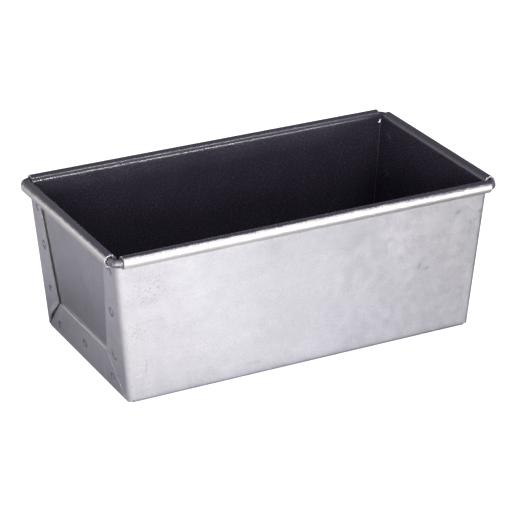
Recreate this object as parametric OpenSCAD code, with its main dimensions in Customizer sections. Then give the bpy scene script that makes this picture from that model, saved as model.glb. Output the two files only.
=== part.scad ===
// Loaf pan for bread baking: one folded sheet makes the floor, the long walls and the
// end flaps, two riveted end panels close it, and a wire stiffens the rolled rim.
// X runs along the pan, Y across it and Z up. The origin is the middle of the floor's underside.

/* [Rim] */
// Length between the centre lines of the end curls
rim_length = 224; // [215:1:235]
// Width between the centre lines of the long curls
rim_width = 120.2; // [116:0.2:126]
// Height of the rim wire's centre line above the table
rim_height = 84.2; // [76:0.2:92]
// Diameter of the rim wire
wire_d = 4.5; // [4.3:0.1:4.8]
// Radial room between the wire and the sheet rolled round it
wire_room = 0.35; // [0.2:0.05:0.45]
// Radius of the wire's centre line at each corner
wire_bend_r = 3.8; // [3.7:0.1:4]
// Angle that the sheet turns round the wire
curl_angle = 308; // [280:1:310]

/* [Base] */
// Outside length of the base at the table
base_length = 206; // [200:1:210]
// Outside width of the base at the table
base_width = 107.4; // [104:0.2:110]

/* [Sheet] */
// Thickness of the sheet
sheet_t = 0.9; // [0.8:0.05:0.95]
// Outside radius of the folds round the floor
floor_fold_r = 2.2; // [2:0.1:2.6]
// Outside radius of the upright corner folds
corner_fold_r = 3; // [2.6:0.1:3.2]
// Room between an end panel and the flaps outside it
panel_room = 0.03; // [0.02:0.01:0.05]

/* [Curl ends] */
// Distance from the left corner of the rim to the cut end of each long curl
long_curl_back_left = 4.2; // [4:0.1:6]
// Distance from the right corner of the rim to the cut end of each long curl
long_curl_back_right = 3.5; // [3.5:0.1:6]
// Distance from the front corner of the rim to the cut end of each end curl
end_curl_back_front = 4.6; // [4.4:0.1:7]
// Distance from the back corner of the rim to the cut end of each end curl
end_curl_back_rear = 5.8; // [4.4:0.1:7]

/* [Flaps] */
// Height of the top edge of the flap that folds up from the floor
base_flap_h = 22.4; // [20:0.2:25]
// Length of that top edge
base_flap_l = 62.4; // [58:0.2:66]
// Lean of the upright flaps' free edges from vertical
flap_lean = 9.8; // [8:0.1:11]
// Distance of each mitre's foot from the middle of the end
mitre_foot = 52.2; // [51.5:0.1:52.4]
// Width of the slit along each mitre
mitre_slit = 0.5; // [0.3:0.1:0.7]
// Height of the top ends of the upright flaps below the wire's centre line
flap_drop = 3.3; // [3.3:0.1:4]

/* [Rivets] */
// Diameter of a rivet's shank
shank_d = 3.2; // [3:0.1:3.4]
// Diameter of the flat head inside the pan
head_d = 6.4; // [6:0.1:7]
// Height of the flat head
head_h = 0.7; // [0.5:0.1:0.8]
// Diameter of the clinched ring outside the pan
ring_d = 6; // [5.6:0.1:6.4]
// Height of the clinched ring
ring_h = 0.5; // [0.4:0.05:0.8]
// Diameter of the blind hole in the shank
tube_d = 2.2; // [2:0.1:2.4]
// Radial room between a shank and its holes
shank_room = 0.02; // [0.02:0.01:0.04]
// Distance from the middle and height of the rivets in the front flaps
front_rivets = [[41, 23.5], [43.7, 50], [47.5, 75]];
// Distance from the middle and height of the rivets in the rear flaps
rear_rivets = [[42, 27], [43.7, 53], [46.2, 75]];
// Distance from the middle and height of the outer rivets in the base flap
base_rivets = [35, 7.8];
// Height of the middle rivet in the base flap
middle_rivet_h = 12.2; // [11:0.1:14]

/* [Hidden] */
$fn = 96;
far = 400;
// How far a cutting outline runs past the sheet that it trims
spare = 5;
// Thickness of the plates and pins that trim and pierce the ends
cut_depth = 20;
curl_in = wire_d / 2 + wire_room;
curl_out = curl_in + sheet_t;

// Lean of a wall whose outer face starts at reach_x inside the curl's centre
// and passes the curl's centre at the distance clear
function lean(reach_x, clear) =
    atan(reach_x / rim_height) - asin(clear / norm([reach_x, rim_height]));

side_clear = curl_in;
end_clear = curl_in - sheet_t - panel_room;
side_lean = lean((rim_width - base_width) / 2, side_clear);
end_lean = lean((rim_length - base_length) / 2, end_clear);

// Lean of a corner fold's axis within the plane of the end
corner_lean = atan(tan(side_lean) * cos(end_lean));
// Angle that a corner fold turns
corner_turn = acos(sin(end_lean) * sin(side_lean));
corner_x = base_length / 2 - corner_fold_r / cos(end_lean);
corner_y = base_width / 2 - corner_fold_r / cos(side_lean);
flap_top = rim_height - flap_drop;
// Depth of an end panel's outer face inside the flaps' outer face
panel_depth = sheet_t + panel_room;
panel_foot = floor_fold_r;
// How far an end panel's edge reaches round the inside of a corner fold
panel_edge = 1.4;
fold_floor_x = base_length / 2 + floor_fold_r * (tan(end_lean) - 1 / cos(end_lean));
fold_floor_y = base_width / 2 + floor_fold_r * (tan(side_lean) - 1 / cos(side_lean));
// Height at which a corner fold starts above the table
corner_foot = 1.2;
// How far flat sheet runs into the start of a fold or curl, so that they join
knit = 0.02;
// How far the curls' blanks reach below the flaps' top ends
curl_overlap = 1;
// Shift of each mitred edge away from the middle of its slit
mitre_shift = mitre_slit / 2 * norm([1, (mitre_foot - base_flap_l / 2) / base_flap_h]);

// Distance from the middle of the end to a mitred edge, at a height up the slope
function mitre_at(height, shift) =
    mitre_foot - (mitre_foot - base_flap_l / 2) * height / base_flap_h + shift;

steel = [0.80, 0.80, 0.83];
coating = [0.16, 0.15, 0.19];
bare_wire = [0.42, 0.38, 0.38];

rivet_places = ["front_top", "front_middle", "front_bottom", "base_front", "base_middle",
    "base_rear", "rear_bottom", "rear_middle", "rear_top"];
rivet_spots = [
    [-front_rivets[2][0], front_rivets[2][1]],
    [-front_rivets[1][0], front_rivets[1][1]],
    [-front_rivets[0][0], front_rivets[0][1]],
    [-base_rivets[0], base_rivets[1]],
    [0, middle_rivet_h],
    base_rivets,
    rear_rivets[0],
    rear_rivets[1],
    rear_rivets[2]
];
end_names = ["left", "right"];
function rivet_name(end, i) = str("rivet_", end_names[end], "_", rivet_places[i]);

// Ring of sheet between two angles, measured anticlockwise from the first axis
module ring_arc(r_in, r_out, start, turn) {
    reach = 3 * r_out;
    difference() {
        circle(r = r_out);
        circle(r = r_in);
        if (turn < 180)
            difference() {
                circle(r = reach);
                wedge(reach, start, turn);
            }
        else
            wedge(reach, start + turn, 360 - turn);
    }
}

// Sector-shaped outline that covers the angle from start to start + turn
module wedge(reach, start, turn) {
    parts = ceil(turn / 60);
    polygon(concat(
        [[0, 0]],
        [for (i = [0:parts]) 2 * reach * [cos(start + turn * i / parts), sin(start + turn * i / parts)]]
    ));
}

// Outline of a wall on one side: fold at the floor, leaning wall and curl
module wall_outline(fold_x, curl_x, lean_angle) {
    translate([fold_x, floor_fold_r])
        ring_arc(floor_fold_r - sheet_t, floor_fold_r, -90, 90 - lean_angle);
    wall_plate(fold_x, curl_x, lean_angle);
    translate([curl_x, rim_height])
        ring_arc(curl_in, curl_out, 180 - lean_angle - curl_angle, curl_angle);
}

// Straight part of a wall, from its fold to its curl
module wall_plate(fold_x, curl_x, lean_angle) {
    low = [fold_x, floor_fold_r] + floor_fold_r * [cos(lean_angle), -sin(lean_angle)];
    high = [curl_x, rim_height] - curl_in * [cos(lean_angle), -sin(lean_angle)];
    translate(low)
        rotate(-lean_angle)
            translate([-sheet_t, -knit])
                square([sheet_t, norm(high - low) + 2 * knit]);
}

// Outline of the folded sheet seen along the pan
module channel_outline() {
    for (side = [0:1])
        mirror([side, 0])
            wall_outline(fold_floor_y, rim_width / 2, side_lean);
    translate([-fold_floor_y - knit, 0])
        square([2 * (fold_floor_y + knit), sheet_t]);
}

// Turns an outline drawn in Y and Z into a plate of the given thickness along X
module along_x(thickness) {
    rotate([90, 0, 90])
        linear_extrude(height = thickness)
            children();
}

// Turns an outline drawn in X and Z into a solid centred across the pan
module along_y(width) {
    rotate([90, 0, 0])
        linear_extrude(height = width, center = true)
            children();
}

// Frame of an end: X out of the outer face, Z up its slope
module end_frame() {
    translate([base_length / 2, 0, 0])
        rotate([0, end_lean, 0])
            children();
}

// Frame of a corner fold: Z along its axis, X out of the end's outer face
module corner_frame() {
    translate([corner_x, corner_y, 0])
        rotate([0, end_lean, 0])
            rotate([-corner_lean, 0, 0])
                children();
}

// Space that the long walls fill, up to the corner folds and the curls' cut ends
module channel_reach() {
    overlap = 0.5;
    foot = corner_x - overlap;
    top = foot + flap_top * tan(end_lean);
    along_y(far)
        polygon([
            [-foot, -spare], [foot, -spare], [foot, 0],
            [top, flap_top], [-top, flap_top], [-foot, 0]
        ]);
    translate([long_curl_back_left - rim_length / 2, -far / 2, flap_top - curl_overlap])
        cube([rim_length - long_curl_back_left - long_curl_back_right, far, far]);
}

// Floor, long walls and long curls
module channel() {
    intersection() {
        along_x_centred(far) channel_outline();
        channel_reach();
    }
}

module along_x_centred(length) {
    translate([-length / 2, 0, 0])
        along_x(length)
            children();
}

// Upright flap and corner fold at the rear right corner, before trimming
module corner_blank() {
    flap_width = 30;
    wall_overlap = 1;
    corner_frame()
        translate([0, 0, -spare])
            linear_extrude(height = rim_height + 2 * spare) {
                translate([corner_fold_r - sheet_t, -flap_width])
                    square([sheet_t, flap_width + knit]);
                ring_arc(corner_fold_r - sheet_t, corner_fold_r, 0, corner_turn);
                rotate(corner_turn - 90)
                    translate([-wall_overlap, corner_fold_r - sheet_t])
                        square([wall_overlap + knit, sheet_t]);
            }
}

// Outline of an upright flap in the plane of the end, wider than the sheet at the corner
module upright_flap_outline() {
    top = flap_top / cos(end_lean) + spare;
    tip = mitre_at(base_flap_h, mitre_shift);
    outer = mitre_foot + cut_depth;
    polygon([
        [tip, base_flap_h],
        [mitre_at(0, mitre_shift), 0],
        [outer, 0],
        [outer, top],
        [tip + (top - base_flap_h) * tan(flap_lean), top]
    ]);
}

// Outline of the base flap in the plane of the end
module base_flap_outline() {
    tip = mitre_at(base_flap_h, -mitre_shift);
    foot = mitre_at(-spare, -mitre_shift);
    polygon([[-tip, base_flap_h], [tip, base_flap_h], [foot, -spare], [-foot, -spare]]);
}

// Cuts an outline in the plane of the right end through everything near that plane
module through_end() {
    end_frame()
        translate([-cut_depth / 2, 0, 0])
            along_x(cut_depth)
                children();
}

// Upright flap with its corner fold at the rear right corner
module upright_flap() {
    intersection() {
        corner_blank();
        through_end() upright_flap_outline();
        translate([0, 0, corner_foot])
            linear_extrude(height = flap_top - corner_foot)
                square(far);
    }
}

// Flap that folds up from the floor at the right end
module base_flap() {
    floor_overlap = 4;
    intersection() {
        along_y(far)
            union() {
                translate([fold_floor_x - floor_overlap, 0])
                    square([floor_overlap + knit, sheet_t]);
                translate([fold_floor_x, floor_fold_r])
                    ring_arc(floor_fold_r - sheet_t, floor_fold_r, -90, 90 - end_lean);
                translate([fold_floor_x, floor_fold_r] + floor_fold_r * [cos(end_lean), -sin(end_lean)])
                    rotate(-end_lean)
                        translate([-sheet_t, -knit])
                            square([sheet_t, base_flap_h]);
            }
        through_end() base_flap_outline();
    }
}

// Places its children at one rivet of the right end, Z out of the pan
module at_rivet(spot) {
    end_frame()
        translate([0, spot[0], spot[1] / cos(end_lean)])
            rotate([0, 90, 0])
                children();
}

// Holes for all the rivets of the right end
module rivet_holes() {
    for (spot = rivet_spots)
        at_rivet(spot)
            cylinder(d = shank_d + 2 * shank_room, h = cut_depth, center = true);
}

// One folded sheet: floor, long walls, long curls and all the flaps
module body_shell() {
    color(steel)
        difference() {
            union() {
                channel();
                for (end = [0:1])
                    mirror([1 - end, 0, 0]) {
                        base_flap();
                        for (side = [0:1])
                            mirror([0, side, 0])
                                upright_flap();
                    }
            }
            for (end = [0:1])
                mirror([1 - end, 0, 0])
                    rivet_holes();
        }
}

// Outline of an end panel seen across the pan: plate and curl
module panel_profile() {
    top = [rim_length / 2, rim_height] - curl_in * [cos(end_lean), -sin(end_lean)];
    translate(top)
        rotate(-end_lean)
            translate([-sheet_t, -far / 2])
                square([sheet_t, far / 2 + knit]);
    translate([rim_length / 2, rim_height])
        ring_arc(curl_in, curl_out, 180 - end_lean - curl_angle, curl_angle);
}

// Outline of an end panel seen along the pan: trapezoid plate under a straight curl
module panel_outline() {
    foot_y = corner_y + panel_foot * tan(side_lean);
    top_y = corner_y + flap_top * tan(side_lean);
    polygon([[-foot_y, panel_foot], [foot_y, panel_foot], [top_y, flap_top], [-top_y, flap_top]]);
    translate([end_curl_back_front - rim_width / 2, flap_top - curl_overlap])
        square([rim_width - end_curl_back_front - end_curl_back_rear, 2 * curl_out + flap_drop]);
}

// End panel at the right end
module end_panel() {
    difference() {
        union() {
            intersection() {
                along_y(far) panel_profile();
                along_x(far) panel_outline();
            }
            for (side = [0:1])
                mirror([0, side, 0])
                    panel_edge_strip();
        }
        rivet_holes();
    }
}

// Edge of an end panel, rounded to sit inside the corner fold
module panel_edge_strip() {
    reach_in = corner_fold_r - panel_depth;
    intersection() {
        corner_frame()
            linear_extrude(height = rim_height)
                intersection() {
                    translate([reach_in - sheet_t, -knit])
                        square([sheet_t, panel_edge + knit]);
                    circle(r = reach_in);
                }
        translate([0, 0, panel_foot])
            linear_extrude(height = flap_top - panel_foot)
                square(far);
    }
}

module end_panel_right() {
    color(coating) end_panel();
}

module end_panel_left() {
    color(coating) mirror([1, 0, 0]) end_panel();
}

// Closed loop of wire inside all the curls
module rim_wire() {
    straight_x = rim_length / 2 - wire_bend_r;
    straight_y = rim_width / 2 - wire_bend_r;
    color(bare_wire)
        translate([0, 0, rim_height]) {
            for (side = [-1, 1]) {
                translate([0, side * rim_width / 2, 0])
                    rotate([0, 90, 0])
                        cylinder(d = wire_d, h = 2 * straight_x, center = true);
                translate([side * rim_length / 2, 0, 0])
                    rotate([90, 0, 0])
                        cylinder(d = wire_d, h = 2 * straight_y, center = true);
            }
            for (end = [0:1])
                for (side = [0:1])
                    mirror([end, 0, 0])
                        mirror([0, side, 0])
                            translate([straight_x, straight_y, 0])
                                rotate_extrude(angle = 90)
                                    translate([wire_bend_r, 0])
                                        circle(d = wire_d);
        }
}

// Rivet: flat head inside the pan, hollow shank clinched into a ring outside it
module rivet_outline() {
    inside = panel_depth + sheet_t;
    ring_r = ring_h / 2;
    difference() {
        union() {
            translate([0, -inside - head_h])
                square([head_d / 2, head_h]);
            translate([0, -inside - head_h / 2])
                square([shank_d / 2, inside + head_h / 2 + ring_r]);
            square([ring_d / 2 - ring_r, ring_h]);
            translate([ring_d / 2 - ring_r, ring_r])
                circle(r = ring_r);
        }
        translate([0, -inside])
            square([tube_d / 2, far]);
    }
}

module rivet(end, i) {
    color(steel)
        mirror([1 - end, 0, 0])
            at_rivet(rivet_spots[i])
                rotate_extrude()
                    rivet_outline();
}

body_shell();
end_panel_left();
end_panel_right();
rim_wire();
for (end = [0:1])
    for (i = [0:len(rivet_places) - 1])
        rivet(end, i);
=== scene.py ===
"""Loaf pan: one folded sheet, two riveted end panels and a wire rolled into the rim.

Lengths are in millimetres until a mesh is made, which is in metres.
X runs along the pan, Y across it and Z up. The origin is the middle of the floor's underside.
"""

import math

import bpy
import numpy as np
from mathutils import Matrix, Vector


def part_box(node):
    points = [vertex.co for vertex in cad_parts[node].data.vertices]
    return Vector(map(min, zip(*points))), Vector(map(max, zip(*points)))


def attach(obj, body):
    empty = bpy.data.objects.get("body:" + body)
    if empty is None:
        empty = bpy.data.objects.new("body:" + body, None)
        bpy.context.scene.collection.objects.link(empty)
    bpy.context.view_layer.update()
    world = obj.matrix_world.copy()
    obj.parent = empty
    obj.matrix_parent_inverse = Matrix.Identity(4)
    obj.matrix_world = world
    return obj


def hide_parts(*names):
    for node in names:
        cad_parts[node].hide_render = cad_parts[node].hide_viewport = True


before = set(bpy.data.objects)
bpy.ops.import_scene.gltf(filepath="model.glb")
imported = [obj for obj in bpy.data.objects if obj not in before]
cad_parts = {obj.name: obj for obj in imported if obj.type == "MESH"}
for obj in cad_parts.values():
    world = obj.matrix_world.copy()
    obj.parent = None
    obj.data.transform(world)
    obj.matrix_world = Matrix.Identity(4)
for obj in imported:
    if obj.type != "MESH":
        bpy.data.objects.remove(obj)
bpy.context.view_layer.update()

MM = 0.001
UP = np.array([0.0, 0.0, 1.0])
FRONT, REAR = -1, 1
LEFT, RIGHT = -1, 1


def box_mm(node):
    """Lowest and highest corner of a CAD node, in millimetres."""
    low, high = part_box(node)
    return np.array(low) / MM, np.array(high) / MM


# The sheet and its folds. FLOOR_CLEAR keeps eased edges from passing below the floor.
SHEET = 0.9
EASED_EDGE = 0.14
EASED_ANGLE = math.radians(50)
FLOOR_CLEAR = 0.016
FLOOR_FOLD_R = 2.2
CORNER_FOLD_R = 3.0
CURL_IN_R = 2.6
CURL_OUT_R = CURL_IN_R + SHEET
CURL_TURN = math.radians(308)
PANEL_ROOM = 0.03
PANEL_DEPTH = SHEET + PANEL_ROOM
PANEL_EDGE = 1.4
PANEL_EDGE_TURN = math.asin(PANEL_EDGE / (CORNER_FOLD_R - PANEL_DEPTH))
CUT_ROUND = 1.0

# The rim and the base
WIRE_LOW, WIRE_HIGH = box_mm("rim_wire")
WIRE_R = (WIRE_HIGH[2] - WIRE_LOW[2]) / 2
RIM_X = WIRE_HIGH[0] - WIRE_R
RIM_Y = WIRE_HIGH[1] - WIRE_R
RIM_Z = WIRE_HIGH[2] - WIRE_R
BASE_X = 103.0
BASE_Y = 53.7
WIRE_BEND_R = 3.8
WIRE_SAG = 0.2
LONG_CURL_BACK = {LEFT: 4.2, RIGHT: 3.5}
END_CURL_BACK = {FRONT: 4.6, REAR: 5.8}

# The flaps
BASE_FLAP_H = 22.4
BASE_FLAP_HALF = 31.2
FLAP_LEAN = math.radians(9.8)
MITRE_FOOT = 52.2
MITRE_SLIT = 0.5
FLAP_TOP = RIM_Z - 3.3
FLAP_MIN_WIDTH = 0.5
FLAP_LIFT = {FRONT: 0.1, REAR: 0.62}
LIFT_REACH = 5.5
LIFT_FROM, LIFT_GROWTH = 4, 8
LIFT_AT_RIM = 0.3
MITRE_GAPE = {FRONT: 0.0, REAR: 1.6}
GAPE_FROM = 2.5
GAPE_LENGTH = 17
CORNER_TAB = 2.3
TAB_CLEAR = 0.15

# The rivets: distance across from the middle of the end, and height
RIVET_PLACES = {
    "front_top": (-47.5, 75),
    "front_middle": (-43.7, 50),
    "front_bottom": (-41, 23.5),
    "base_front": (-35, 7.8),
    "base_middle": (0, 12.2),
    "base_rear": (35, 7.8),
    "rear_bottom": (42, 27),
    "rear_middle": (43.7, 53),
    "rear_top": (46.2, 75),
}


def wall_lean(base, rim, clear):
    """Lean from vertical of a wall that runs from the base to the inner side of its curl."""
    return math.atan((rim - base) / RIM_Z) - math.asin(clear / math.hypot(rim - base, RIM_Z))


SIDE_LEAN = wall_lean(BASE_Y, RIM_Y, CURL_IN_R)
END_LEAN = wall_lean(BASE_X, RIM_X, CURL_IN_R - PANEL_DEPTH)
CORNER_X = BASE_X - CORNER_FOLD_R / math.cos(END_LEAN)
CORNER_Y = BASE_Y - CORNER_FOLD_R / math.cos(SIDE_LEAN)


def fold_start(base, lean):
    """Where the floor ends and the fold to a leaning wall begins."""
    return base + FLOOR_FOLD_R * (math.tan(lean) - 1 / math.cos(lean))


FOLD_X = fold_start(BASE_X, END_LEAN)
FOLD_Y = fold_start(BASE_Y, SIDE_LEAN)


def side_normal(side):
    """Way out of a long wall."""
    return np.array([0, side * math.cos(SIDE_LEAN), -math.sin(SIDE_LEAN)])


def end_normal(end):
    """Way out of an end."""
    return np.array([end * math.cos(END_LEAN), 0, -math.sin(END_LEAN)])


def axis_x(height):
    """Distance of a corner fold's axis from the middle along the pan."""
    return CORNER_X + height * math.tan(END_LEAN)


def axis_y(height):
    """Distance of a corner fold's axis from the middle across the pan."""
    return CORNER_Y + height * math.tan(SIDE_LEAN)


# Heights along the corner fold's axis at which the sheet changes
WALL_FOOT = FLOOR_FOLD_R * (1 - math.sin(SIDE_LEAN)) + CORNER_FOLD_R * math.sin(SIDE_LEAN)
WALL_TOP = RIM_Z + (CURL_IN_R + CORNER_FOLD_R) * math.sin(SIDE_LEAN)
FLAP_TIP = BASE_FLAP_H * math.cos(END_LEAN) + CORNER_FOLD_R * math.sin(END_LEAN)
FLAP_END = FLAP_TOP + CORNER_FOLD_R * math.sin(END_LEAN)
PANEL_FOLD_R = CORNER_FOLD_R - PANEL_DEPTH
PANEL_FOOT = FLOOR_FOLD_R + PANEL_FOLD_R * math.sin(END_LEAN)
PANEL_TOP = RIM_Z + (CURL_IN_R + PANEL_FOLD_R) * math.sin(END_LEAN)


def spread(start, stop, step, keep_start=True):
    """Evenly spaced values from start to stop, about step apart."""
    count = max(1, round(abs(stop - start) / step))
    values = np.linspace(start, stop, count + 1)
    return values if keep_start else values[1:]


def smooth(value):
    """Smooth step from 0 to 1."""
    t = np.clip(value, 0, 1)
    return t * t * (3 - 2 * t)


# ---------------------------------------------------------------- sheet metal

# Spacing of a sheet's points: up a wall, under a curl, in a corner tab, and round its bends
WALL_STEP = 1.7
THROAT_STEP = 0.6
TAB_STEP = 0.5
FOLD_STEP = math.radians(11)
CURL_STEP = math.radians(7)
SHARES = spread(0, 1, 1 / 14)


def height_rows(foot, top):
    """Rows of a wall or an end, with one at the flaps' tips and one at their top ends."""
    return np.concatenate(
        [
            spread(foot, FLAP_TIP, WALL_STEP),
            spread(FLAP_TIP, FLAP_END, WALL_STEP, keep_start=False),
            spread(FLAP_END, top, THROAT_STEP, keep_start=False),
        ]
    )


WALL_ROWS = height_rows(WALL_FOOT, WALL_TOP)
PANEL_ROWS = height_rows(PANEL_FOOT, PANEL_TOP)
ALONG = spread(0, 1, 1 / 96)
ACROSS = spread(-1, 1, 1 / 24)


class Sheet:
    """A piece of sheet metal, made of patches that share their edges.

    A patch is a grid of points on the bare side of the sheet, with the way to its other side
    and how far inside the line that the spray reached each point lies.
    """

    def __init__(self):
        self.points = []
        self.ways = []
        self.sprayed = []
        self.quads = []
        self.count = 0

    def add(self, points, ways, sprayed):
        """Adds a patch: a grid of points, with ways and spray that spread over it."""
        shape = points.shape[:2]
        index = np.arange(shape[0] * shape[1]).reshape(shape) + self.count
        self.count += index.size
        corners = [index[:-1, :-1], index[:-1, 1:], index[1:, 1:], index[1:, :-1]]
        self.quads.append(np.stack(corners, -1).reshape(-1, 4))
        self.points.append(points.reshape(-1, 3))
        self.ways.append(np.broadcast_to(ways, points.shape).reshape(-1, 3))
        self.sprayed.append(np.broadcast_to(sprayed, shape).reshape(-1))

    def join(self):
        """Joins the patches where their points meet, and turns each quad to face inwards."""
        points = np.concatenate(self.points)
        _, first, joined = np.unique(
            np.round(points, 3), axis=0, return_index=True, return_inverse=True
        )
        self.points = points[first]
        self.ways = np.concatenate(self.ways)[first]
        self.sprayed = np.concatenate(self.sprayed)[first]
        quads = joined.reshape(-1)[np.concatenate(self.quads)]
        a, b, c, d = (self.points[quads[:, k]] for k in range(4))
        facing = np.einsum("ij,ij->i", np.cross(c - a, d - b), self.ways[quads].mean(1))
        quads[facing < 0] = quads[facing < 0][:, ::-1]
        self.quads = quads

    def rims(self):
        """Directed edges that only one quad has."""
        starts = self.quads.reshape(-1)
        ends = np.roll(self.quads, -1, axis=1).reshape(-1)
        size = len(self.points)
        alone = ~np.isin(starts * size + ends, ends * size + starts)
        return starts[alone], ends[alone]

    def solid(self, name, rim_finish):
        """Mesh of the sheet with its thickness. rim_finish gives each cut edge's material."""
        size = len(self.points)
        starts, ends = self.rims()
        rims = np.stack([ends + size, starts + size, starts, ends], -1)
        faces = np.concatenate([self.quads + size, self.quads[:, ::-1], rims])
        places = np.concatenate([self.points, self.points + SHEET * self.ways])
        places[:, 2] = np.maximum(places[:, 2], FLOOR_CLEAR)
        inner = np.where(self.sprayed[self.quads].max(1) > NEVER_SPRAYED, SPRAYED, BARE)
        bare = np.full(len(self.quads), BARE)
        middles = (self.points[starts] + self.points[ends]) / 2
        finishes = np.concatenate([inner, bare, rim_finish(middles)])
        return make_piece(name, places, faces, finishes, np.tile(self.sprayed, 2))


# Places in a sheet piece's list of materials
BARE, SPRAYED, SHEARED_SHADED = 0, 1, 2

# How many millimetres inside the line that the spray reached. EDGE_WEAR is for the last two lines
# of points along an end panel's edge. A curl has a start, and what is added along it.
NEVER_SPRAYED = -20.0
ALWAYS_SPRAYED = 20.0
EDGE_WEAR = (3.0, -6.0)
END_CURL_SPRAY = (1.1, 0.9)
LONG_CURL_SPRAY = (0.5, 0.9)
DRIFT_FROM, DRIFT_LENGTH = 20, 70


def make_piece(name, places, faces, finishes, sprayed):
    """Smooth mesh object from millimetre places, with the finish of each face."""
    mesh = bpy.data.meshes.new(name)
    mesh.from_pydata((places * MM).tolist(), [], [tuple(face) for face in faces])
    mesh.polygons.foreach_set("material_index", finishes.astype(np.int32))
    mesh.polygons.foreach_set("use_smooth", np.ones(len(faces), bool))
    reach = mesh.attributes.new("sprayed", "FLOAT", "POINT")
    reach.data.foreach_set("value", sprayed.astype(np.float32))
    mesh.update()
    piece = bpy.data.objects.new(name, mesh)
    bpy.context.scene.collection.objects.link(piece)
    return piece


def ease_edges(piece):
    """Rounds the cut edges of a piece a little."""
    bevel = piece.modifiers.new("eased_edges", "BEVEL")
    bevel.width = EASED_EDGE * MM
    bevel.segments = 2
    bevel.limit_method = "ANGLE"
    bevel.angle_limit = EASED_ANGLE
    bevel.use_clamp_overlap = False
    bevel.harden_normals = True


def curl_profile(lean):
    """Turn by turn, the way from the wire's centre to the sheet, as outward and up parts."""
    angles = math.pi - lean - spread(0, CURL_TURN, CURL_STEP)
    return angles, np.stack([np.cos(angles), np.sin(angles)], -1)


def curl_spray(angles):
    """How far each row of a curl lies inside the crest, measured round the sheet."""
    return (angles - math.pi / 2) * CURL_OUT_R


def cut_reach(height, fold, cut):
    """Where a wall ends at a height: at its corner fold, then at its curl's cut end."""
    at_fold = fold(np.minimum(height, FLAP_END))
    return at_fold + (cut - fold(FLAP_END)) * smooth((height - FLAP_END) / CUT_ROUND)


def lay_rows(low, high, shares):
    """Grid of places between each row's two ends."""
    return low[:, None] + (high - low)[:, None] * shares[None, :]


def long_wall(sheet, side):
    """Fold from the floor, long wall and long curl on one side."""
    bend = spread(0, math.pi / 2 - SIDE_LEAN, FOLD_STEP)
    angles, turns = curl_profile(SIDE_LEAN)
    out = np.concatenate(
        [
            FOLD_Y + FLOOR_FOLD_R * np.sin(bend[:-1]),
            axis_y(WALL_ROWS) + CORNER_FOLD_R * math.cos(SIDE_LEAN),
            RIM_Y + CURL_IN_R * turns[1:, 0],
        ]
    )
    up = np.concatenate(
        [
            FLOOR_FOLD_R * (1 - np.cos(bend[:-1])),
            WALL_ROWS - CORNER_FOLD_R * math.sin(SIDE_LEAN),
            RIM_Z + CURL_IN_R * turns[1:, 1],
        ]
    )
    flat = np.full(len(WALL_ROWS), math.pi / 2 - SIDE_LEAN)
    turn = np.concatenate([bend[:-1], flat])
    way_out = np.concatenate([-np.sin(turn), turns[1:, 0]])
    way_up = np.concatenate([np.cos(turn), turns[1:, 1]])
    spray = np.concatenate([np.full(len(turn), ALWAYS_SPRAYED), curl_spray(angles[1:])])
    foot_heights = bend[:-1] / bend[-1] * WALL_FOOT
    heights = np.concatenate([foot_heights, WALL_ROWS, np.full(len(angles) - 1, WALL_TOP)])
    ends = [end * cut_reach(heights, axis_x, RIM_X - LONG_CURL_BACK[end]) for end in (LEFT, RIGHT)]
    x = lay_rows(*ends, ALONG)
    grid = np.ones_like(x)
    points = np.stack([x, side * out[:, None] * grid, up[:, None] * grid], -1)
    ways = np.stack([0 * x, side * way_out[:, None] * grid, way_up[:, None] * grid], -1)
    drift = LONG_CURL_SPRAY[0] + LONG_CURL_SPRAY[1] * smooth((x - DRIFT_FROM) / DRIFT_LENGTH)
    sheet.add(points, ways, spray[:, None] + drift)


def pan_floor(sheet):
    """Flat floor, a little longer than the walls so that it meets the end folds."""
    reach = axis_x(0)
    x = np.concatenate([[-FOLD_X], -reach + 2 * reach * ALONG, [FOLD_X]])
    y = FOLD_Y * ACROSS
    points = np.stack(np.broadcast_arrays(x[None, :], y[:, None], 0.0), -1)
    sheet.add(points, UP, ALWAYS_SPRAYED)


def mitre_half(slope_height, slit):
    """Half width of the base flap at a height up its slope, slit away from the mitre's middle."""
    run = MITRE_FOOT - BASE_FLAP_HALF
    shift = slit / 2 * math.hypot(1, run / BASE_FLAP_H)
    return MITRE_FOOT - run * slope_height / BASE_FLAP_H + shift


def base_flap(sheet, end):
    """Fold and flap that rise from the floor at one end."""
    bend = spread(0, math.pi / 2 - END_LEAN, FOLD_STEP)
    foot = FLOOR_FOLD_R * (1 - math.sin(END_LEAN))
    heights = spread(foot, BASE_FLAP_H * math.cos(END_LEAN), WALL_STEP, keep_start=False)
    turn = np.concatenate([bend, np.full(len(heights), bend[-1])])
    slope = BASE_X + heights * math.tan(END_LEAN)
    out = np.concatenate([FOLD_X + FLOOR_FOLD_R * np.sin(bend), slope])
    up = np.concatenate([FLOOR_FOLD_R * (1 - np.cos(bend)), heights])
    half = np.minimum(mitre_half(up / math.cos(END_LEAN), -MITRE_SLIT), FOLD_Y)
    half[0] = FOLD_Y
    y = half[:, None] * ACROSS[None, :]
    grid = np.ones_like(y)
    points = np.stack([end * out[:, None] * grid, y, up[:, None] * grid], -1)
    ways = np.stack([-end * np.sin(turn)[:, None] * grid, 0 * y, np.cos(turn)[:, None] * grid], -1)
    sheet.add(points, ways, NEVER_SPRAYED)


def corner_axis(end, side, heights):
    """Points on the axis of a corner fold."""
    return np.stack([end * axis_x(heights), side * axis_y(heights), heights], -1)


def corner_ways(end, side, share):
    """Ways out of a corner fold, turning from the long wall's to the end's."""
    turn = math.acos(math.sin(END_LEAN) * math.sin(SIDE_LEAN))
    wall = np.sin((1 - share) * turn)[:, None] * side_normal(side)
    return (wall + np.sin(share * turn)[:, None] * end_normal(end)) / math.sin(turn)


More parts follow.
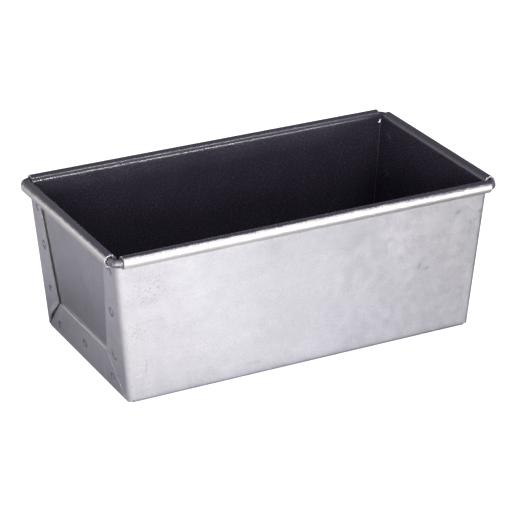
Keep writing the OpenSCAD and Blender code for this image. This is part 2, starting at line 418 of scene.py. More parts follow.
def flap_width(heights, side):
    """Width of an upright flap from its corner fold's axis to its free edge."""
    slope_height = (heights - CORNER_FOLD_R * math.sin(END_LEAN)) / math.cos(END_LEAN)
    gape = np.sin(math.pi * np.clip((slope_height - GAPE_FROM) / GAPE_LENGTH, 0, 1))
    mitre = mitre_half(slope_height, MITRE_SLIT) + MITRE_GAPE[side] * gape
    tip = mitre_half(BASE_FLAP_H, MITRE_SLIT)
    free = tip + (slope_height - BASE_FLAP_H) * math.tan(FLAP_LEAN)
    edge = np.where(slope_height < BASE_FLAP_H, mitre, free)
    return np.maximum(axis_y(heights) - edge, FLAP_MIN_WIDTH)


def corner_tab(sheet, end, side, fold, ways):
    """Short part of a corner fold that stands up between the cut ends of two curls."""
    foot = fold[-1]
    past_long = np.abs(foot[:, 0]) > RIM_X - LONG_CURL_BACK[end] + TAB_CLEAR
    past_end = np.abs(foot[:, 1]) > RIM_Y - END_CURL_BACK[side] + TAB_CLEAR
    free = past_long & past_end
    rise = np.array([end * math.tan(END_LEAN), side * math.tan(SIDE_LEAN), 1.0])
    steps = spread(0, CORNER_TAB, TAB_STEP)
    points = foot[free][None, :, :] + steps[:, None, None] * rise
    sheet.add(points, -ways[free][None, :, :], ALWAYS_SPRAYED)


# How far a corner fold's toe is drawn down, and how high up that fades out
TOE_DROP = 0.9
TOE_FADE = 2.0


def upright_flap(sheet, end, side):
    """Corner fold and the flap that it carries over the end."""
    heights = WALL_ROWS[WALL_ROWS <= FLAP_END + 1e-6]
    ways = corner_ways(end, side, SHARES)
    axis = corner_axis(end, side, heights)
    fold = axis[:, None, :] + CORNER_FOLD_R * ways[None, :, :]
    toe = TOE_DROP * np.exp(-(heights - heights[0]) / TOE_FADE)
    fold[:, :, 2] -= toe[:, None] * np.sin(math.pi * SHARES)[None, :]
    sheet.add(fold, -ways[None, :, :], ALWAYS_SPRAYED)
    corner_tab(sheet, end, side, fold, ways)
    width = flap_width(heights, side)
    flat = fold[:, -1:, :] * np.ones((1, len(SHARES), 1))
    flat[:, :, 1] -= side * width[:, None] * SHARES[None, :]
    from_edge = width[:, None] * (1 - SHARES[None, :])
    risen = FLAP_LIFT[side] * smooth(1 - from_edge / LIFT_REACH) * smooth(SHARES * 3)[None, :]
    growth = smooth((heights - LIFT_FROM) / LIFT_GROWTH) + LIFT_AT_RIM * heights / RIM_Z
    risen = risen * growth[:, None]
    flat += risen[:, :, None] * end_normal(end)
    sheet.add(flat, -end_normal(end), NEVER_SPRAYED)


def end_plate(sheet, end):
    """Plate and curl of an end panel."""
    angles, turns = curl_profile(END_LEAN)
    plate = axis_x(PANEL_ROWS) + PANEL_FOLD_R * math.cos(END_LEAN)
    out = np.concatenate([plate, RIM_X + CURL_IN_R * turns[1:, 0]])
    rise = PANEL_ROWS - PANEL_FOLD_R * math.sin(END_LEAN)
    up = np.concatenate([rise, RIM_Z + CURL_IN_R * turns[1:, 1]])
    inward = np.full(len(PANEL_ROWS), -math.cos(END_LEAN))
    way_out = np.concatenate([inward, turns[1:, 0]])
    way_up = np.concatenate([np.full(len(PANEL_ROWS), math.sin(END_LEAN)), turns[1:, 1]])
    spray = np.concatenate([np.full(len(PANEL_ROWS), ALWAYS_SPRAYED), curl_spray(angles[1:])])
    drift = END_CURL_SPRAY[0] + END_CURL_SPRAY[1] * smooth(ACROSS)
    heights = np.concatenate([PANEL_ROWS, np.full(len(angles) - 1, PANEL_TOP)])
    cuts = {side: RIM_Y - END_CURL_BACK[side] for side in (FRONT, REAR)}
    edges = [side * cut_reach(heights, axis_y, cut) for side, cut in cuts.items()]
    y = lay_rows(*edges, (ACROSS + 1) / 2)
    grid = np.ones_like(y)
    points = np.stack([end * out[:, None] * grid, y, up[:, None] * grid], -1)
    ways = np.stack([end * way_out[:, None] * grid, 0 * y, way_up[:, None] * grid], -1)
    sheet.add(points, ways, spray[:, None] + drift[None, :])


def end_edge(sheet, end, side):
    """Edge of an end panel, rounded to sit inside the corner fold."""
    heights = PANEL_ROWS[PANEL_ROWS <= FLAP_END + 1e-6]
    turn = math.acos(math.sin(END_LEAN) * math.sin(SIDE_LEAN))
    ways = corner_ways(end, side, 1 - spread(0, PANEL_EDGE_TURN, FOLD_STEP) / turn)
    axis = corner_axis(end, side, heights)
    spray = np.full(len(ways), ALWAYS_SPRAYED)
    spray[-2:] = EDGE_WEAR
    points = axis[:, None, :] + PANEL_FOLD_R * ways[None, :, :]
    sheet.add(points, -ways[None, :, :], spray[None, :])


# ---------------------------------------------------------------- handwork


def ripple(points, seed, length, count=7):
    """Gentle unevenness between -1 and 1, whose waves are about the given length."""
    rng = np.random.default_rng(seed)
    total = np.zeros(len(points))
    for _ in range(count):
        way = rng.normal(size=3)
        way *= 2 * math.pi / (length * rng.uniform(0.8, 1.8) * np.linalg.norm(way))
        total += np.sin(points @ way + rng.uniform(0, 2 * math.pi))
    return total / count


def rivet_place(end, spot, inset=0.0):
    """Point on the outer face of an end's flaps, inset into the pan."""
    y, z = spot
    return np.array([end * (BASE_X + z * math.tan(END_LEAN)), y, z]) - inset * end_normal(end)


# Unevenness in millimetres, and the length of its waves. A rivet presses the sheet in by a dimple.
DIMPLE = 0.14
DIMPLE_R = 4.6
WALL_UNEVEN, WALL_WAVE = 0.34, 62
END_UNEVEN, END_WAVE = 0.22, 45
FLOOR_RISE = 0.3
FLOOR_UNEVEN, FLOOR_WAVE = 0.25, 60
CURL_UNEVEN, CURL_WAVE = 0.035, 9

# Where a wall's flat part begins, how far past the corner folds a curl is, and how far from a
# bend the unevenness takes to grow: above the floor, below the rim, and beside the corner folds
FLAT_FOOT = 3
PAST_FOLD = 4
FOOT_FADE, RIM_FADE = 14, 12
WALL_END_FADE, END_SIDE_FADE = 20, 14
FLOOR_FADE_X, FLOOR_FADE_Y = 16, 14


def pressed(points):
    """How far the rivets press the sheet in, near each of them."""
    depth = np.zeros(len(points))
    for end in (LEFT, RIGHT):
        for spot in RIVET_PLACES.values():
            apart = np.linalg.norm(points - rivet_place(end, spot), axis=1)
            depth += DIMPLE * np.exp(-((apart / DIMPLE_R) ** 4))
    return depth


def settle(sheet, seed):
    """Moves a sheet's points along its thickness, as far as real forming leaves it uneven."""
    points, ways = sheet.points, sheet.ways
    x, y, z = np.abs(points[:, 0]), np.abs(points[:, 1]), points[:, 2]
    level = np.abs(ways[:, 2]) > 0.9
    on_floor = level & (z < 1)
    upright = (z > FLAT_FOOT) & (z < FLAP_TOP)
    on_wall = upright & (np.abs(ways[:, 0]) < 0.1)
    on_end = upright & (np.abs(ways[:, 1]) < 0.1)
    wall_fade = smooth((z - FLAT_FOOT) / FOOT_FADE) * smooth((RIM_Z - PAST_FOLD - z) / RIM_FADE)
    end_free = smooth((axis_x(z) - x) / WALL_END_FADE)
    side_free = smooth((axis_y(z) - y) / END_SIDE_FADE)
    shift = np.zeros(len(points))
    shift += on_wall * wall_fade * end_free * WALL_UNEVEN * ripple(points, seed, WALL_WAVE)
    shift += on_end * wall_fade * side_free * END_UNEVEN * ripple(points, seed + 1, END_WAVE)
    floor_fade = smooth((FOLD_X - x) / FLOOR_FADE_X) * smooth((FOLD_Y - y) / FLOOR_FADE_Y)
    crown = FLOOR_RISE + FLOOR_UNEVEN * ripple(points, seed + 2, FLOOR_WAVE)
    shift += on_floor * floor_fade * crown
    shift += pressed(points) * (np.abs(ways[:, 1]) < 0.1) * (z > 2)
    past_end = x > axis_x(FLAP_END) + PAST_FOLD
    past_side = y > axis_y(FLAP_END) + PAST_FOLD
    in_curl = (z >= RIM_Z) | past_end | past_side
    shift -= in_curl * CURL_UNEVEN * (1 + ripple(points, seed + 3, CURL_WAVE))
    sheet.points = points + shift[:, None] * ways


# ---------------------------------------------------------------- shader nodes


class Socket:
    """An output in a finish's nodes. Arithmetic on it adds Math nodes."""

    def __init__(self, finish, output):
        self.finish = finish
        self.output = output

    def math(self, operation, *values):
        """A Math node on sockets and numbers."""
        return self.finish.node("ShaderNodeMath", {"operation": operation}, dict(enumerate(values)))

    def __add__(self, other):
        return self.math("ADD", self, other)

    __radd__ = __add__

    def __sub__(self, other):
        return self.math("SUBTRACT", self, other)

    def __rsub__(self, other):
        return self.math("SUBTRACT", other, self)

    def __mul__(self, other):
        return self.math("MULTIPLY", self, other)

    __rmul__ = __mul__

    def __truediv__(self, other):
        return self.math("DIVIDE", self, other)

    def __rtruediv__(self, other):
        return self.math("DIVIDE", other, self)

    def __pow__(self, other):
        return self.math("POWER", self, other)

    def __abs__(self):
        return self.math("ABSOLUTE", self)

    def at_least(self, other):
        """The greater of two values."""
        return self.math("MAXIMUM", self, other)

    def at_most(self, other):
        """The lesser of two values."""
        return self.math("MINIMUM", self, other)

    def step(self, low, high):
        """0 below low, 1 above high and smooth in between."""
        settings = {"interpolation_type": "SMOOTHSTEP"}
        values = {"Value": self, "From Min": low, "From Max": high}
        return self.finish.node("ShaderNodeMapRange", settings, values)


class Finish:
    """The node tree of a material or of the studio's surroundings."""

    def __init__(self, owner):
        owner.use_nodes = True
        self.tree = owner.node_tree
        self.tree.nodes.clear()

    def node(self, kind, settings=None, sockets=None, output=0):
        """Adds a node with its settings made first, then its sockets' values or links."""
        made = self.tree.nodes.new(kind)
        for name, value in (settings or {}).items():
            setattr(made, name, value)
        for key, value in (sockets or {}).items():
            if isinstance(value, Socket):
                self.tree.links.new(value.output, made.inputs[key])
            else:
                made.inputs[key].default_value = value
        return Socket(self, made.outputs[output]) if made.outputs else made

    def place(self):
        """Where a point of the piece is, in millimetres."""
        own = self.node("ShaderNodeTexCoord", output="Object")
        return self.stretch(own, (1 / MM,) * 3)

    def vectors(self, operation, *values, output=0):
        """A Vector Math node on places, directions or colours."""
        settings = {"operation": operation}
        return self.node("ShaderNodeVectorMath", settings, dict(enumerate(values)), output)

    def stretch(self, place, by):
        """A place or a colour multiplied part by part."""
        return self.vectors("MULTIPLY", place, by)

    def reach(self):
        """How far inside the line that the spray reached a point of the piece lies."""
        return self.node("ShaderNodeAttribute", {"attribute_name": "sprayed"}, {}, "Fac")

    def noise(self, place, size, detail=2.0, rough=0.5, twist=0.0):
        """Noise about 0.5, whose features are about size millimetres across."""
        sockets = {
            "Vector": place,
            "Scale": 1 / size,
            "Detail": detail,
            "Roughness": rough,
            "Distortion": twist,
        }
        return self.node("ShaderNodeTexNoise", {}, sockets)

    def flecks(self, place, size):
        """Distance to the nearest of many scattered points, in shares of their spacing."""
        return self.node("ShaderNodeTexVoronoi", {}, {"Vector": place, "Scale": 1 / size})

    def along(self, place, way):
        """How far a place lies along a direction."""
        return self.vectors("DOT_PRODUCT", place, way, output="Value")

    def away(self, place, spot):
        """How far a place lies from a spot."""
        return self.vectors("DISTANCE", place, spot, output="Value")

    def mix(self, share, low, high):
        """Colour between two others."""
        sockets = {"Factor": share, "A": low, "B": high}
        return self.node("ShaderNodeMix", {"data_type": "RGBA"}, sockets, "Result")

    def shade(self, colour, amount):
        """Colour multiplied by a value."""
        sockets = {0: colour, "Scale": amount}
        return self.node("ShaderNodeVectorMath", {"operation": "SCALE"}, sockets)


def new_material(name):
    """A material, its finish, and where a point of the piece is."""
    material = bpy.data.materials.new(name)
    finish = Finish(material)
    return material, finish, finish.place()


def grey(value, tint=(1.0, 1.0, 1.0)):
    """Colour of a given brightness."""
    return tuple(value * part for part in tint) + (1.0,)


def hairlines(finish, place, seed_shift, stretch, width, share):
    """Fine scratches: the contour lines of stretched noise, broken up by a coarser one."""
    moved = finish.vectors("ADD", place, seed_shift)
    field = finish.noise(finish.stretch(moved, stretch), 1.0, detail=1.0, twist=0.3)
    line = 1 - (abs(field - 0.5) / width).at_most(1.0)
    where = finish.noise(moved, 14.0, detail=2.0).step(1 - share, 1.02 - share)
    return line * where


def scuff(finish, place, spot, half_length, half_width, way):
    """A rubbed stroke on the sheet, about a spot and along a direction."""
    length = finish.along(finish.vectors("SUBTRACT", place, spot), way)
    apart = finish.away(place, spot)
    across = (apart * apart - length * length).at_least(0.0) ** 0.5
    inside = (1 - abs(length) / half_length).at_least(0.0) * (1 - across / half_width).at_least(0.0)
    return inside.step(0.0, 0.35)


def steel_look(finish, place):
    """Matt aluminised steel: colour, roughness and height of its surface."""
    cloud = finish.noise(place, 34.0, detail=3.0, rough=0.55)
    mottle = finish.noise(place, 5.5, detail=3.0, rough=0.6)
    grain = finish.noise(place, 0.8, detail=3.0, rough=0.7)
    rolled = finish.noise(finish.stretch(place, (0.03, 1.1, 1.1)), 1.0, detail=2.0)
    marks = hairlines(finish, place, (31.0, 7.0, 3.0), (0.05, 0.5, 0.22), 0.012, 0.40)
    cross_marks = hairlines(finish, place, (5.0, 17.0, 23.0), (0.34, 0.3, 0.05), 0.010, 0.36)
    pits = 1 - finish.flecks(place, 3.1).step(0.05, 0.16)
    tone = 0.68 + 0.12 * cloud + 0.12 * mottle + 0.40 * grain + 0.06 * rolled
    tone = tone + 0.06 * marks - 0.05 * cross_marks - 0.12 * pits * mottle.step(0.5, 0.6)
    colour = finish.shade(STEEL_COLOUR, tone)
    rough = 0.35 + 0.12 * mottle + 0.08 * grain - 0.10 * marks + 0.05 * cloud
    height = 0.55 * grain + 0.9 * mottle + 0.35 * rolled - 0.5 * marks - 0.8 * pits
    return colour, rough, height


# Colours of the bare metals and of the coating. A curl is sprayed a little past its crest.
STEEL_COLOUR = (0.80, 0.79, 0.81)
# The cut edge's colour is darker than bare steel, to paint the shade in the gap under the upright
# flaps.
SHADED_EDGE_COLOUR = (0.31, 0.30, 0.285)
RIVET_COLOUR = (0.52, 0.51, 0.53)
CURL_TINT = (0.95, 0.93, 0.89)
SPRAY_PAST_CREST = 2.1
COATING_COLOUR = (0.0335, 0.029, 0.0445)
COATING_IOR = 1.53


def coating_look(finish, place):
    """Dark sprayed non-stick coating with fine flecks: colour, roughness and height."""
    near_flake = 1 - finish.flecks(place, 0.6).step(0.12, 0.5)
    chosen = finish.noise(place, 1.1, detail=1.0).step(0.40, 0.56)
    flake = near_flake * chosen
    cloud = finish.noise(place, 18.0, detail=3.0)
    peel = finish.noise(place, 0.9, detail=2.0)
    colour = finish.shade(COATING_COLOUR, 0.75 + 0.4 * cloud + 0.7 * flake)
    rough = 0.18 + 0.08 * cloud + 0.15 * flake
    height = 1.7 * peel + 0.6 * flake
    return colour, rough, height


def surface(finish, colour, metal, rough, height, depth, ior=1.5):
    """Principled shader with a bump, on the finish's output."""
    relief = {"Strength": 1.0, "Distance": depth * MM, "Height": height}
    bump = finish.node("ShaderNodeBump", {}, relief)
    sockets = {"Base Color": colour, "Metallic": metal, "Roughness": rough}
    shader = finish.node("ShaderNodeBsdfPrincipled", {}, sockets | {"Normal": bump, "IOR": ior})
    finish.node("ShaderNodeOutputMaterial", {}, {"Surface": shader})


# Marks on the front long wall. A rub has its middle, half its length, half its width and its
# direction. A worn patch has its middle and its reach.
DARK_RUBS = [
    ((-93.0, -54.6, 21.0), 5.0, 0.3, (0.06, 0.0, 1.0)),
    ((91.6, -56.9, 71.2), 2.4, 1.0, (0.9, 0.0, 0.43)),
    ((105.7, -56.9, 69.5), 1.6, 1.1, (0.7, 0.0, 0.71)),
]
LIGHT_RUBS = [
    ((-97.0, -54.2, 15.5), 2.6, 0.8, (1.0, 0.0, 0.12)),
    ((99.0, -57.1, 73.8), 4.5, 0.45, (0.8, 0.0, -0.6)),
    ((50.0, -56.3, 57.0), 6.0, 0.3, (0.05, 0.0, 1.0)),
]
WORN_PATCHES = [((-92.0, -57.0, 66.0), 15.0), ((-99.0, -55.5, 40.0), 9.0)]


def worn_patch(finish, place, spot, reach):
    """Fine dark specks, thickest about a spot, where the sheet was knocked and rubbed."""
    apart = finish.away(place, spot)
    specks = finish.noise(place, 1.5, detail=3.0, rough=0.75).step(0.52, 0.62)
    return specks * (1 - (apart / reach).step(0.2, 1.0))


def bare_steel(name):
    """Outside of the pan, with the rubs it picked up in the kitchen."""
    material, finish, place = new_material(name)
    colour, rough, height = steel_look(finish, place)
    tone = 1.0
    for rub in DARK_RUBS:
        tone = tone - 0.22 * scuff(finish, place, *rub)
    for rub in LIGHT_RUBS:
        tone = tone + 0.12 * scuff(finish, place, *rub)
    for spot, reach in WORN_PATCHES:
        tone = tone - 0.20 * worn_patch(finish, place, spot, reach)
    surface(finish, finish.shade(colour, tone), 1.0, rough, height, 0.02)
    return material


def sprayed_steel(name):
    """Inside of the pan: coated to a little past the curls' crest, where the spray thins out."""
    material, finish, place = new_material(name)
    steel = steel_look(finish, place)
    coat = coating_look(finish, place)
    drift = finish.noise(place, 6.0, detail=2.0) - 0.5
    specks = finish.noise(place, 0.6, detail=2.0, rough=0.6) - 0.5
    cover = (finish.reach() + SPRAY_PAST_CREST + 1.1 * drift + 2.6 * specks).step(-1.1, 1.1)
    colour = finish.mix(cover, finish.stretch(steel[0], CURL_TINT), coat[0])
    dulled = steel[1] + 0.10
    rough = dulled + (coat[1] - dulled) * cover
    height = steel[2] + (coat[2] + 1.0 - steel[2]) * cover
    surface(finish, colour, 1 - cover, rough, height, 0.03, COATING_IOR)
    return material


# The wire's mill stains and its clean metal
WIRE_STAIN = grey(0.16, (1.12, 0.95, 1.05))
WIRE_GREY = grey(0.46, (1.0, 0.95, 1.0))


def wire_steel(name):
    """Dull drawn wire with mill stains, darkened by spray on its upper inner side."""
    material, finish, place = new_material(name)
    stain = finish.noise(place, 1.5, detail=3.0, rough=0.7)
    grain = finish.noise(place, 0.4, detail=1.0)
    specks = finish.noise(place, 0.5, detail=2.0) - 0.5
    bare = finish.mix(stain.step(0.36, 0.66), WIRE_STAIN, WIRE_GREY)
    cover = (finish.reach() + 3.0 * specks).step(-0.5, 0.5)
    colour = finish.mix(cover, bare, COATING_COLOUR + (1.0,))
    rough = 0.42 + 0.2 * grain
    surface(finish, colour, 1 - cover, rough, 0.6 * stain + 0.3 * grain, 0.04)
    return material


def sheared_edge_painted_shade(name):
    """Cut edge of the sheet: warm bare steel with the shear's fine cross marks, darkened with
    painted shade of the gap beside it.
    """
    material, finish, place = new_material(name)
    marks = finish.noise(place, 0.35, detail=2.0, rough=0.7)
    stain = finish.noise(place, 3.0, detail=2.0)
    colour = finish.shade(SHADED_EDGE_COLOUR, 0.75 + 0.25 * marks + 0.3 * stain)
    surface(finish, colour, 1.0, 0.38 + 0.2 * marks, marks, 0.05)
    return material


def panel_steel(name):
    """Outside of an end panel: darker sheet, rubbed up and down, with painted shade that darkens it
    towards its foot.
    """
    material, finish, place = new_material(name)
    colour, rough, height = steel_look(finish, place)
    streaks = finish.noise(finish.stretch(place, (1.0, 0.9, 0.04)), 1.0, detail=3.0, rough=0.65)
    # Painted shade: the panel's colour darkens from its top down towards its foot.
    upper = finish.along(place, (0.0, 0.0, 1.0)).step(15.0, 78.0)
    rubbed = finish.shade(colour, (0.74 + 0.26 * streaks) * (0.74 + 0.26 * upper))
    surface(finish, rubbed, 1.0, rough - 0.06 * streaks, height + 0.6 * streaks, 0.02)
    return material


def rivet_steel(name):
    """Pressed rivet, darker and a little duller than the sheet."""
    material, finish, place = new_material(name)
    colour, rough, height = steel_look(finish, place)
    dull = finish.stretch(colour, RIVET_COLOUR)
    surface(finish, dull, 1.0, rough + 0.06, height, 0.03)
    return material


# ---------------------------------------------------------------- pieces

STEEL = bare_steel("aluminised_steel")
COATED = sprayed_steel("nonstick_coating_over_steel")
WIRE = wire_steel("drawn_wire")
SHADED_EDGE = sheared_edge_painted_shade("sheared_steel_edge_painted_shade")
RIVET = rivet_steel("pressed_rivet_steel")
PANEL = panel_steel("streaked_panel_steel_painted_shade")


def ready(piece, nodes, materials):
    """Gives a piece its finishes, hangs it under the root body and hides the CAD parts that it
    stands in for.
    """
    for material in materials:
        piece.data.materials.append(material)
    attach(piece, "root")
    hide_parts(*nodes)
    return piece


def shell_edges(middles):
    """Finish of the folded sheet's cut edges: dark with painted shade along the upright flaps,
    clean elsewhere.
    """
    y, z = np.abs(middles[:, 1]), middles[:, 2]
    on_base_flap = (z < BASE_FLAP_H) & (y < mitre_half(z / math.cos(END_LEAN), 0))
    return np.where((z > FLAP_TOP + 0.3) | on_base_flap, BARE, SHEARED_SHADED)


def folded_sheet():
    """Floor, long walls, long curls and all the flaps, folded from one sheet."""
    sheet = Sheet()
    pan_floor(sheet)
    for side in (FRONT, REAR):
        long_wall(sheet, side)
    for end in (LEFT, RIGHT):
        base_flap(sheet, end)
        for side in (FRONT, REAR):
            upright_flap(sheet, end, side)
    sheet.join()
    settle(sheet, 11)
    piece = sheet.solid("folded_sheet", shell_edges)
    ease_edges(piece)
    return ready(piece, ["body_shell"], [STEEL, COATED, SHADED_EDGE])


def end_sheet(end, name, node, seed):
    """One end panel with its curl and its rounded edges."""
    sheet = Sheet()
    end_plate(sheet, end)
    for side in (FRONT, REAR):
        end_edge(sheet, end, side)
    sheet.join()
    settle(sheet, seed)
    piece = sheet.solid(name, lambda middles: np.where(middles[:, 2] > FLAP_TOP, BARE, SPRAYED))
    ease_edges(piece)
    return ready(piece, [node], [PANEL, COATED, SHADED_EDGE])


# Spacing of the wire's points: round a corner, along a straight run, and round the wire. The spray
# came from above and inside, and it fades out round the wire.
WIRE_CORNER_STEP = math.radians(9)
WIRE_RUN_STEP = 5
WIRE_SPOKES = 28
WIRE_UNEVEN, WIRE_WAVE = 0.012, 4
SPRAY_TURN, SPRAY_SIDE = 0.9, 0.35


def loop_path():
    """Centre line of the rim wire, with the way out of the loop at each point."""
    straight_x, straight_y = RIM_X - WIRE_BEND_R, RIM_Y - WIRE_BEND_R
    points, ways = [], []
    for quarter in range(4):
        start = quarter * math.pi / 2
        end = 1 if quarter in (0, 3) else -1
        side = 1 if quarter in (0, 1) else -1
        middle = np.array([end * straight_x, side * straight_y, RIM_Z])
        for angle in spread(start, start + math.pi / 2, WIRE_CORNER_STEP):
            way = np.array([math.cos(angle), math.sin(angle), 0])
            points.append(middle + WIRE_BEND_R * way)
            ways.append(way)
        following = loop_run(middle, quarter, straight_x, straight_y)
        points += [p for p, _ in following]
        ways += [w for _, w in following]
    return np.array(points), np.array(ways)


def loop_run(middle, quarter, straight_x, straight_y):
    """Points along the straight run of wire that follows a corner."""
    angle = (quarter + 1) * math.pi / 2
    way = np.array([math.cos(angle), math.sin(angle), 0])
    heading = np.array([-way[1], way[0], 0])
    length = 2 * (straight_x if quarter % 2 == 0 else straight_y)
    begin = middle + WIRE_BEND_R * way
    return [(begin + heading * s, way) for s in spread(0, length, WIRE_RUN_STEP)[1:-1]]


def wire_loop():
    """Closed loop of wire, bare at the four corners."""
    points, ways = loop_path()
    around = np.linspace(0, 2 * math.pi, WIRE_SPOKES, endpoint=False)
    rings = np.arange(len(points))
    uneven = 1 - WIRE_UNEVEN * (1 + ripple(points, 5, WIRE_WAVE))
    spokes = np.cos(around)[None, :, None] * ways[:, None, :] + np.sin(around)[None, :, None] * UP
    middles = points - WIRE_SAG * UP
    places = middles[:, None, :] + WIRE_R * uneven[:, None, None] * spokes
    a = rings[:, None] * WIRE_SPOKES + np.arange(WIRE_SPOKES)[None, :]
    b = np.roll(a, -1, axis=0)
    faces = np.stack([a, b, np.roll(b, -1, axis=1), np.roll(a, -1, axis=1)], -1).reshape(-1, 4)
    places = places.reshape(-1, 3)
    sprayed = np.tile(WIRE_R * (np.sin(around - SPRAY_TURN) - SPRAY_SIDE), len(points))
    piece = make_piece("wire_loop", places, faces, np.zeros(len(faces)), sprayed)
    return ready(piece, ["rim_wire"], [WIRE])


# A rivet's radius and height, from the dent outside to the head inside. What lies under
# HEAD_BELOW is sprayed. What lies over OUTER_ABOVE is uneven: its ring tilts, and its dent is
# off centre.
RIVET_PROFILE = [
    (0.0, -0.72),
    (0.3, -0.6),
    (0.6, -0.34),
    (0.85, -0.12),
    (1.15, 0.02),
    (1.8, 0.08),
    (2.5, 0.07),
    (2.9, 0.01),
    (3.0, -0.06),
    (1.6, -0.1),
    (1.6, -1.8),
    (3.1, -1.84),
    (3.1, -1.9),
    (2.8, -2.02),
    (2.3, -2.12),
    (1.3, -2.2),
    (0.0, -2.22),
]
HEAD_BELOW = -1.82
OUTER_ABOVE = -0.8
RING_R = 2.9
DENT_R = 1.2
RIVET_SPOKES = 36
RING_LOBES = (0.05, 0.03)
RING_TILT = 0.09
DENT_OFF_CENTRE = 0.5


def rivet_rings(end, spot, seed):
    """Rings of points round a rivet, from its dent to its inner head, and its two poles."""
    rng = np.random.default_rng(seed)
    out = end_normal(end)
    across = np.array([0.0, 1.0, 0.0])
    slope = np.cross(out, across)
    centre = rivet_place(end, spot, DIMPLE)
    around = np.linspace(0, 2 * math.pi, RIVET_SPOKES, endpoint=False)
    spokes = np.cos(around)[:, None] * across + np.sin(around)[:, None] * slope
    lobes = rng.uniform(0, 2 * math.pi, 4)
    uneven = RING_LOBES[0] * np.cos(2 * around + lobes[0])
    uneven += RING_LOBES[1] * np.cos(3 * around + lobes[1])
    tilt = RING_TILT * np.cos(around + lobes[2])
    dent_shift = DENT_OFF_CENTRE * (math.cos(lobes[3]) * across + math.sin(lobes[3]) * slope)
    rings = []
    for radius, height in RIVET_PROFILE[1:-1]:
        outside = height > OUTER_ABOVE
        wide = radius * (1 + uneven * outside)
        high = height + tilt * (height > 0) * (radius < RING_R)
        middle = centre + dent_shift * (outside and radius < DENT_R)
        rings.append(middle + wide[:, None] * spokes + high[:, None] * out)
    poles = [centre + dent_shift + RIVET_PROFILE[0][1] * out, centre + RIVET_PROFILE[-1][1] * out]
    return rings, poles


def clinched_rivet(end, end_name, place_name, seed):
    """Rivet with a low uneven ring and a dent outside, and a flat sprayed head inside."""
    rings, poles = rivet_rings(end, RIVET_PLACES[place_name], seed)
    turns = len(rings[0])
    places = np.concatenate(rings + [poles])
    faces, coated = [], []
    for ring in range(len(rings) - 1):
        inside = RIVET_PROFILE[ring + 2][1] < HEAD_BELOW
        for k in range(turns):
            a, b = ring * turns + k, ring * turns + (k + 1) % turns
            faces.append((a, a + turns, b + turns, b))
            coated.append(inside)
    first, last = len(places) - 2, len(places) - 1
    final = (len(rings) - 1) * turns
    for k in range(turns):
        following = (k + 1) % turns
        faces += [(first, k, following), (last, final + following, final + k)]
        coated += [False, True]
    if end == RIGHT:
        faces = [face[::-1] for face in faces]
    name = f"clinched_rivet_{end_name}_{place_name}"
    finishes = np.array(coated) * SPRAYED
    sprayed = np.full(len(places), ALWAYS_SPRAYED)
    piece = make_piece(name, places, faces, finishes, sprayed)
    return ready(piece, [f"rivet_{end_name}_{place_name}"], [RIVET, COATED])


folded_sheet()
end_sheet(LEFT, "end_sheet_left", "end_panel_left", 21)
end_sheet(RIGHT, "end_sheet_right", "end_panel_right", 31)
wire_loop()
for end, end_name in ((LEFT, "left"), (RIGHT, "right")):
    for number, place_name in enumerate(RIVET_PLACES):
        clinched_rivet(end, end_name, place_name, 100 * (2 + end) + number)


# ---------------------------------------------------------------- studio


TABLE_HALF = 12.0
TABLE_DROP, SHEEN_DROP = 0.0002, 0.0004

# Tints of the studio's dim and bright parts
SHADE_TINT = (0.93, 0.90, 1.10)
BRIGHT_TINT = (1.0, 0.99, 0.985)


def flat_square(name, drop):
    """Large level square, a drop in metres below the pan."""
    mesh = bpy.data.meshes.new(name)
    corners = [(x * TABLE_HALF, y * TABLE_HALF, 0) for x, y in ((-1, -1), (1, -1), (1, 1), (-1, 1))]
    mesh.from_pydata(corners, [], [(0, 1, 2, 3)])
    square = bpy.data.objects.new(name, mesh)
    square.location.z = -drop
    bpy.context.scene.collection.objects.link(square)
    return square


def plain_floor():
    """Large pale table top that the metal doesn't mirror."""
    table = flat_square("table_top", TABLE_DROP)
    table.visible_glossy = False
    material = bpy.data.materials.new("pale_table")
    finish = Finish(material)
    sockets = {"Base Color": grey(0.9), "Roughness": 0.8, "Specular IOR Level": 0.0}
    sockets |= {"Emission Color": grey(1.0), "Emission Strength": 0.85}
    shader = finish.node("ShaderNodeBsdfPrincipled", {}, sockets)
    finish.node("ShaderNodeOutputMaterial", {}, {"Surface": shader})
    table.data.materials.append(material)


def mirrored_floor():
    """What the metal mirrors of the table: a painted reflection, bright in front at the left, with
    the pan's painted shadow dim close beside it.
    """
    sheen = flat_square("table_sheen", SHEEN_DROP)
    sheen.visible_camera = False
    sheen.visible_diffuse = False
    sheen.visible_shadow = False
    material, finish, place = new_material("mirrored_table")
    x = finish.along(place, (1.0, 0.0, 0.0))
    y = finish.along(place, (0.0, 1.0, 0.0))
    off_x = (abs(x) - BASE_X).at_least(0.0)
    off_y = (abs(y) - BASE_Y).at_least(0.0)
    apart = (off_x * off_x + off_y * off_y) ** 0.5
    contact_shadow = 1 / (1 + apart * apart / 60.0)
    front = 1 - y.step(-75.0, -30.0)
    ahead = 0.65 - 0.67 * x.step(-90.0, 220.0)
    # Painted shadow of the pan: the mirrored table is dim close beside it and darkest where it
    # touches.
    beside = 0.01 + 0.29 * apart.step(15.0, 75.0) + 0.18 * (1 - y.step(-10.0, 150.0))
    beside = beside + 0.22 * apart.step(110.0, 600.0)
    level = (beside + (ahead - beside) * front) * (1 - 0.28 * contact_shadow)
    colour = finish.mix(level.step(0.1, 0.9), grey(1.0, SHADE_TINT), grey(1.0, BRIGHT_TINT))
    glow = finish.shade(colour, level)
    sockets = {"Base Color": grey(0.0), "Specular IOR Level": 0.0, "Emission Color": glow}
    shader = finish.node("ShaderNodeBsdfPrincipled", {}, sockets | {"Emission Strength": 1.0})
    finish.node("ShaderNodeOutputMaterial", {}, {"Surface": shader})
    sheen.data.materials.append(material)


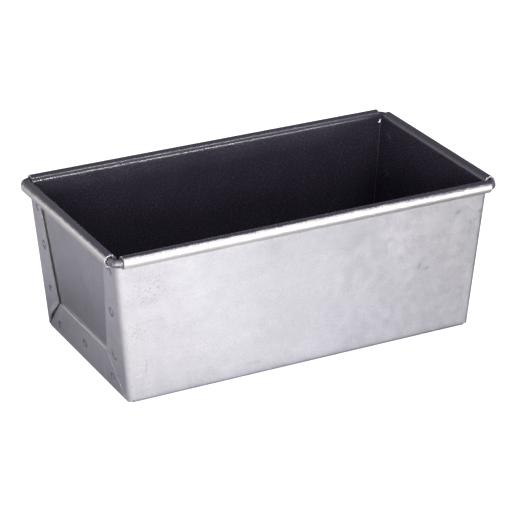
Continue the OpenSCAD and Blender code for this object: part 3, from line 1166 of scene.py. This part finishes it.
def soft_light(name, place, target, size, watts):
    """Soft rectangular lamp that points at a target, in metres."""
    data = bpy.data.lights.new(name, "AREA")
    data.shape = "RECTANGLE"
    data.size, data.size_y = size
    data.energy = watts
    lamp = bpy.data.objects.new(name, data)
    lamp.location = place
    lamp.rotation_euler = (Vector(target) - Vector(place)).to_track_quat("-Z", "Y").to_euler()
    bpy.context.scene.collection.objects.link(lamp)


def surroundings():
    """Dim studio, lighter in front and above, bright low at the back left, and seen as white."""
    world = bpy.data.worlds.new("studio")
    bpy.context.scene.world = world
    finish = Finish(world)
    way = finish.node("ShaderNodeTexCoord", output="Generated")
    front = finish.along(way, (0.25, -0.95, 0.0)).step(-0.8, 1.0)
    height = finish.along(way, (0.0, 0.0, 1.0))
    behind = finish.along(way, (-0.53, 0.85, 0.0)).step(0.3, 1.0) * (1 - height.step(0.2, 0.75))
    level = 0.11 + 0.34 * front + 0.16 * height.step(-0.1, 0.9) + 1.30 * behind
    seen = finish.node("ShaderNodeLightPath", output="Is Camera Ray")
    tint = finish.mix(level.step(0.1, 0.9), grey(1.0, SHADE_TINT), grey(1.0, BRIGHT_TINT))
    colour = finish.mix(seen, finish.shade(tint, level), grey(1.0))
    shader = finish.node("ShaderNodeBackground", {}, {"Color": colour, "Strength": 1.0})
    finish.node("ShaderNodeOutputWorld", {}, {"Surface": shader})


def camera():
    """Long lens that looks down at the pan from its front left."""
    data = bpy.data.cameras.new("camera")
    data.lens = 167.28
    data.sensor_width = 36
    data.clip_end = 50
    eye = bpy.data.objects.new("camera", data)
    eye.location = (-0.54457, -1.05100, 0.57796)
    target = Vector((0.0001, 0.0027, 0.0404))
    eye.rotation_euler = (target - eye.location).to_track_quat("-Z", "Y").to_euler()
    bpy.context.scene.collection.objects.link(eye)
    bpy.context.scene.camera = eye


plain_floor()
mirrored_floor()
surroundings()
soft_light("key", (-0.38, -0.62, 0.22), (-0.05, 0, 0.06), (0.3, 0.16), 3.0)
soft_light("strip_low", (0.40, -1.03, 0.150), (0.40, 0.0, 0.08), (0.46, 0.10), 7.0)
soft_light("strip_high", (0.40, -0.44, 1.05), (0.40, 0.06, 0.084), (0.46, 0.11), 3.4)
camera()
bpy.context.scene.view_settings.view_transform = "Standard"
